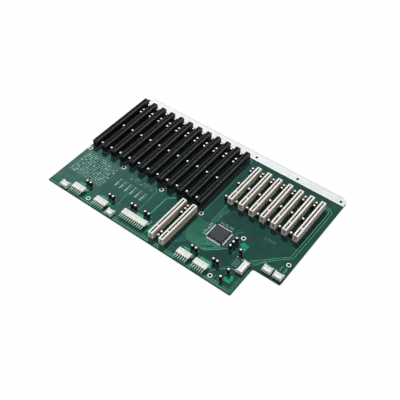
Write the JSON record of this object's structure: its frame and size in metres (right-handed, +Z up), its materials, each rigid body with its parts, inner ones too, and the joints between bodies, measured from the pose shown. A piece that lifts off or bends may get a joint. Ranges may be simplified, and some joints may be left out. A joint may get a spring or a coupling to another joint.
{
  "type": "passive backplane",
  "caption": "Passive computer backplane: a bare board with rows of card slots, processor card slots, a bridge chip, and right-angle power and signal headers.",
  "frame": {"origin": "centre of the board's outline, at the level of the pin tails the part stands on", "axes": "+X along the row of slots, away from the 16-bit slots; +Y towards the rear edge with the bare ground strip; +Z up, out of the card slots"},
  "size_m": [0.414, 0.2606, 0.0167],
  "materials": {
    "solder_mask": "satin green solder mask over glass laminate",
    "tinned_land": "bare tinned copper",
    "chip_body": "moulded epoxy",
    "capacitor_sleeve": "shrunk sleeve",
    "black_housing": "moulded black",
    "ivory_housing": "moulded ivory",
    "header_nylon": "moulded nylon",
    "wafer_nylon": "moulded nylon",
    "pin_tin": "bright tin plate"
  },
  "bodies": {
    "root": {"main_board": "solder_mask", "rear_ground_strip": "tinned_land", "bridge_chip": "chip_body", "slot_capacitors": "capacitor_sleeve", "supply_capacitors": "capacitor_sleeve", "isa_slot_01": "black_housing", "isa_slot_02": "black_housing", "isa_slot_03": "black_housing", "isa_slot_04": "black_housing", "isa_slot_05": "black_housing", "isa_slot_06": "black_housing", "isa_slot_07": "black_housing", "isa_slot_08": "black_housing", "isa_slot_09": "black_housing", "isa_slot_10": "black_housing", "isa_slot_11": "black_housing", "isa_slot_12": "black_housing", "processor_slot_1": "ivory_housing", "processor_slot_2": "ivory_housing", "pci_slot_1": "ivory_housing", "pci_slot_2": "ivory_housing", "pci_slot_3": "ivory_housing", "pci_slot_4": "ivory_housing", "pci_slot_5": "ivory_housing", "pci_slot_6": "ivory_housing", "pci_slot_7": "ivory_housing", "power_header_1": "header_nylon", "power_header_2": "header_nylon", "power_header_3": "header_nylon", "power_header_4": "header_nylon", "power_header_5": "header_nylon", "power_header_pins_1": "pin_tin", "power_header_pins_2": "pin_tin", "power_header_pins_3": "pin_tin", "power_header_pins_4": "pin_tin", "power_header_pins_5": "pin_tin", "wafer_header_1": "wafer_nylon", "wafer_header_2": "wafer_nylon", "wafer_header_3": "wafer_nylon", "wafer_header_4": "wafer_nylon", "wafer_header_5": "wafer_nylon", "wafer_header_pins_1": "pin_tin", "wafer_header_pins_2": "pin_tin", "wafer_header_pins_3": "pin_tin", "wafer_header_pins_4": "pin_tin", "wafer_header_pins_5": "pin_tin"}
  },
  "joints": []
}
